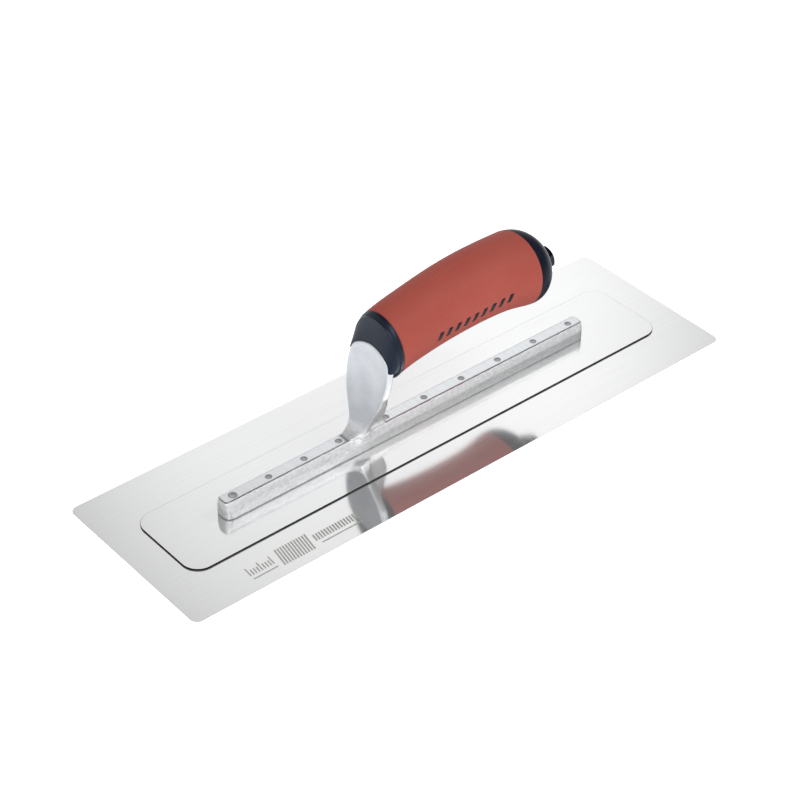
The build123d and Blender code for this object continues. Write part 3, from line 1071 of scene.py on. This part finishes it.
# ---------------------------------------------------------------- etched marks
def etched_marks():
    """A plain row of etched ticks and hatched blocks on the blade in front of the plate."""
    top, sunk, lift = BLADE_HIGH[2], 0.01, 0.03
    bars = []

    def bar(x, y, length, width, slant=0.0):
        low = [(x, y), (x + width, y), (x + width + slant, y + length), (x + slant, y + length)]
        rings = [np.array([(px, py, z) for px, py in low]) for z in (top - sunk, top + lift)]
        bars.append(loft("tick", rings))

    for i in range(9):
        bar(ETCH_X + i * 2.0, ETCH_Y, 4.5 if i % 4 else 7.0, 0.9, 0.5)
    for i in range(12):
        bar(ETCH_X + 20 + i * 1.9, ETCH_Y - 4.5, 13.5, 1.1, 2.5)
    for i in range(16):
        bar(ETCH_X + 46 + i * 2.0, ETCH_Y, 5.5, 1.2, 0.8)
    for x, length in ((ETCH_X, 17.0), (ETCH_X + 48, 29.0)):
        bar(x, ETCH_Y - 3.2, 0.9, length)
    return joined("etched_ticks", bars)


# ---------------------------------------------------------------- build
steel_tone = (0.67, 0.672, 0.675)
# the plate's cut edge is painted near black as a dark reflection
edge_material = dark_reflection_edge("dark_reflection_edge")

blade = sheet("blade_sheet", BLADE_LOW, BLADE_HIGH, BLADE_CORNER, 0.12)
lay_grain(blade)
dress(blade, "blade_steel", brushed_steel("blade_brushed", steel_tone, 0.085, 0.04), "blade")

plate = sheet("plate_sheet", PLATE_LOW, PLATE_HIGH, PLATE_CORNER, 0.2)
lay_grain(plate)
dress(plate, "plate_steel", brushed_steel("plate_brushed", steel_tone, 0.10, 0.04), "backing_plate")
add_edge_material(plate, edge_material)

casting = mounting()
dress(casting, "cast_aluminium", cast_aluminium("aluminium_casting"), "mounting")

rivet_finish = rivet_steel("rivet_steel")
dress(rivets("toe_rivet_head", [TOE_RIVET]), "rivet_steel", rivet_finish, "toe_rivet")
dress(rivets("front_rivet_heads", FRONT_RIVETS), "rivet_steel", rivet_finish, "front_rivets")
dress(rivets("rear_rivet_heads", REAR_RIVETS), "rivet_steel", rivet_finish, "rear_rivets")

navy_black = ((0.004, 0.006, 0.012), (0.009, 0.012, 0.022))
collar_plastic = moulded_plastic("collar_plastic", *navy_black, 0.34, 0.3)
dress(collar(), "black_plastic", collar_plastic, "front_collar")
sleeve, bars = grip_and_inlays()
dress(sleeve, "red_overmould", soft_grip("red_elastomer"), "grip_sleeve")
inlay_plastic = moulded_plastic("inlay_plastic", (0.004, 0.004, 0.005), (0.008, 0.008, 0.010), 0.45)
dress(bars, "black_plastic", inlay_plastic, "grip_inlay")
dress(end_cap(), "black_plastic", moulded_plastic("cap_plastic", *navy_black, 0.33, 0.06), "end_cap")

bright_zinc = ((0.42, 0.43, 0.45), (0.62, 0.63, 0.65))
dress(washer(), "zinc_steel", plated_steel("washer_zinc", *bright_zinc, 0.3), "washer")
nut_black = plated_steel("nut_black", (0.012, 0.012, 0.014), (0.035, 0.035, 0.038), 0.16)
dress(lock_nut(), "black_steel", nut_black, "lock_nut")
dress(tang_rod(), "zinc_steel", plated_steel("rod_zinc", *bright_zinc, 0.3), "tang_rod")
dress(etched_marks(), "blade_steel", etched_steel("etched_steel"))

# the bond film is painted near black, carrying on the plate edge's painted dark line; the core is plain
# dark plastic
for node, material in (
    ("bond_film", moulded_plastic("adhesive_film_painted_dark", (0.004, 0.004, 0.005), (0.012, 0.012, 0.013), 0.6)),
    ("handle_core", moulded_plastic("core_plastic", (0.02, 0.02, 0.02), (0.05, 0.05, 0.05), 0.5)),
):
    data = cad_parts[node].data
    data.materials.clear()
    data.materials.append(material)


# ---------------------------------------------------------------- floor, light and camera
WALL_LIGHT = 0.8
CEILING_LIGHT = 0.15
BACK_LIGHT = 1.0
BACK_WALL = (0.50, 0.608, 0.617)
SIDE_LIGHT = 0.35
SIDE_WALL = (0.68, 0.47, 0.565)
DARK_WALL = (0.93, -0.36, 0.10)
DARK_SHARE = 0.2
FLOOR_GLOW = 0.75
# how far each part of the room reaches: cosines of the angle from its middle, the fade's start first
CEILING_FADE = (0.45, 0.75)
DARK_FADE = (0.45, 0.9)
BACK_FADE = (0.981, 1.0)
SIDE_FADE = (0.975, 1.0)


def floor():
    """A plain pale floor under the blade, lit a little from within like a light table."""
    half, z = 3000.0, -0.05
    corners = [(-half, -half, z), (half, -half, z), (half, half, z), (-half, half, z)]
    piece = make_object("floor", corners, [(0, 1, 2, 3)])
    shader = Shader("floor_white", Roughness=0.9, Emission_Strength=FLOOR_GLOW)
    tint = shader.noise(3, (1, 1, 1), 2, 0.5)
    white = shader.tint(tint, (0.90, 0.90, 0.90), (0.92, 0.92, 0.92))
    shader.colour(white)
    shader.join(white, shader.surface.inputs["Emission Color"])
    piece.data.materials.append(shader.material)


def soft_box(name, heading, height, distance, size, power):
    """A square soft box: heading and height are its angles in degrees as seen from the handle."""
    heading, height = radians(heading), radians(height)
    away = Vector((cos(height) * cos(heading), cos(height) * sin(heading), sin(height)))
    data = bpy.data.lights.new(name, "AREA")
    data.size = size
    data.energy = power
    made = bpy.data.objects.new(name, data)
    made.location = Vector((0, 0, 0.06)) + away * distance
    made.rotation_euler = away.to_track_quat("Z", "Y").to_euler()
    bpy.context.scene.collection.objects.link(made)


def room():
    """A white-walled room: a dark ceiling and rear corner, and two bright patches behind the trowel."""
    world = bpy.data.worlds.new("room")
    world.use_nodes = True
    tree = world.node_tree
    background = tree.nodes["Background"]

    def add(kind, **settings):
        node = tree.nodes.new(kind)
        for key, value in settings.items():
            setattr(node, key, value)
        return node

    def span(value, from_low, from_high, to_low, to_high):
        node = add("ShaderNodeMapRange", interpolation_type="SMOOTHSTEP")
        limits = {"From Min": from_low, "From Max": from_high, "To Min": to_low, "To Max": to_high}
        for label, number in limits.items():
            node.inputs[label].default_value = number
        tree.links.new(value, node.inputs["Value"])
        return node.outputs["Result"]

    direction = add("ShaderNodeTexCoord").outputs["Generated"]
    split = add("ShaderNodeSeparateXYZ")
    tree.links.new(direction, split.inputs[0])
    walls = span(split.outputs["Z"], *CEILING_FADE, WALL_LIGHT, CEILING_LIGHT)

    def facing(middle, fade, to_low, to_high):
        node = add("ShaderNodeVectorMath", operation="DOT_PRODUCT")
        node.inputs[1].default_value = Vector(middle).normalized()
        tree.links.new(direction, node.inputs[0])
        return span(node.outputs["Value"], *fade, to_low, to_high)

    total = add("ShaderNodeMath", operation="MULTIPLY_ADD")
    tree.links.new(walls, total.inputs[0])
    tree.links.new(facing(DARK_WALL, DARK_FADE, 1.0, DARK_SHARE), total.inputs[1])
    tree.links.new(facing(BACK_WALL, BACK_FADE, 0.0, BACK_LIGHT), total.inputs[2])
    glow = add("ShaderNodeMath", operation="ADD")
    tree.links.new(total.outputs["Value"], glow.inputs[0])
    tree.links.new(facing(SIDE_WALL, SIDE_FADE, 0.0, SIDE_LIGHT), glow.inputs[1])
    tree.links.new(glow.outputs["Value"], background.inputs["Strength"])
    background.inputs["Color"].default_value = (1.0, 1.0, 1.0, 1)
    bpy.context.scene.world = world


def camera():
    """The camera: heading from +X towards +Y, pitch down, and a slight roll."""
    heading, pitch, roll = radians(48.87), radians(-37.885), radians(1.213)
    aim = Vector((-0.3, 10.3, 9.7)) * MM
    distance = 1.3246
    ahead = Vector((cos(pitch) * cos(heading), cos(pitch) * sin(heading), sin(pitch)))
    level_right = ahead.cross(Vector((0, 0, 1))).normalized()
    level_up = level_right.cross(ahead)
    right = level_right * cos(roll) + level_up * sin(roll)
    up = right.cross(ahead)
    data = bpy.data.cameras.new("camera")
    data.sensor_width = 36.0
    data.lens = 99.96
    data.clip_end = 20
    made = bpy.data.objects.new("camera", data)
    turn = Matrix((right, up, -ahead)).transposed()
    made.matrix_world = Matrix.Translation(aim - ahead * distance) @ turn.to_4x4()
    bpy.context.scene.collection.objects.link(made)
    bpy.context.scene.camera = made


floor()
room()
soft_box("overhead", heading=-42, height=50, distance=1.2, size=0.5, power=7.0)
soft_box("toe", heading=-140, height=50, distance=1.2, size=0.6, power=6.0)
camera()
bpy.context.scene.view_settings.view_transform = "Standard"
